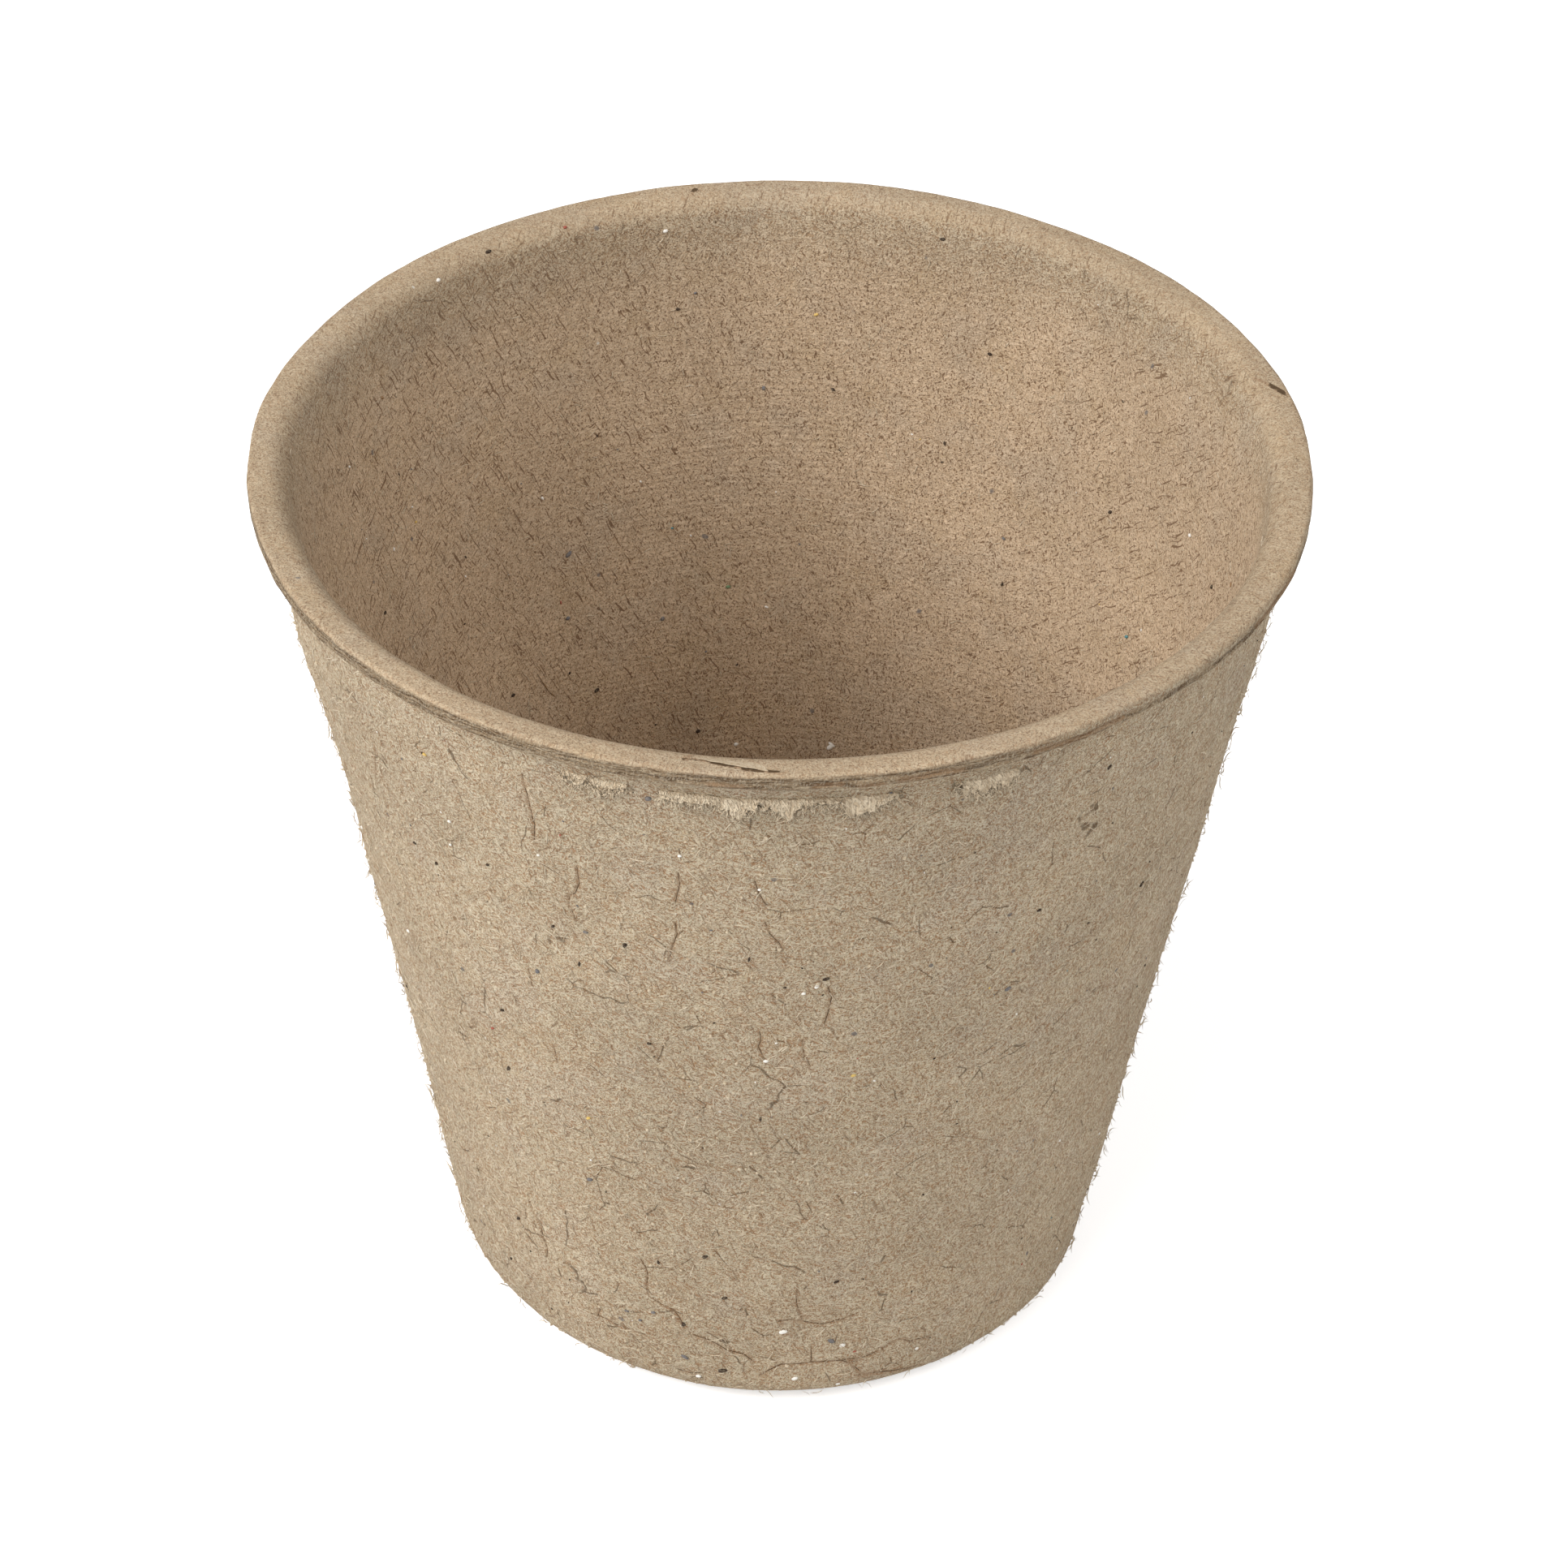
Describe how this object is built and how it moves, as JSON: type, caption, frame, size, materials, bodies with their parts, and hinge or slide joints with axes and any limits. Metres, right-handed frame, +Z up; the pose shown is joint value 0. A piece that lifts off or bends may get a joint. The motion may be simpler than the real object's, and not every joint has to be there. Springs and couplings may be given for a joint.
{
  "type": "peat pot",
  "caption": "Small round seedling pot of moulded pulp: tapered wall, rounded foot, narrow flared lip, drain hole.",
  "frame": {"origin": "centre of the base, on the surface that the pot stands on", "axes": "+Z up along the pot's axis, front of the pot towards -Y"},
  "size_m": [0.08, 0.08, 0.0736],
  "materials": {
    "moulded_pulp": "coarse grey-brown moulded pulp, fibrous and dull, browner inside with a fine screen print",
    "torn_pulp": "pale frayed pulp, loose fibres standing out",
    "pulp_skin": "pale pressed pulp skin, smooth beside the wall"
  },
  "bodies": {
    "root": {"pot_shell": "moulded_pulp", "torn_pulp_left": "torn_pulp", "torn_pulp_middle": "torn_pulp", "torn_pulp_right": "torn_pulp", "lip_sliver": "pulp_skin"}
  },
  "joints": []
}
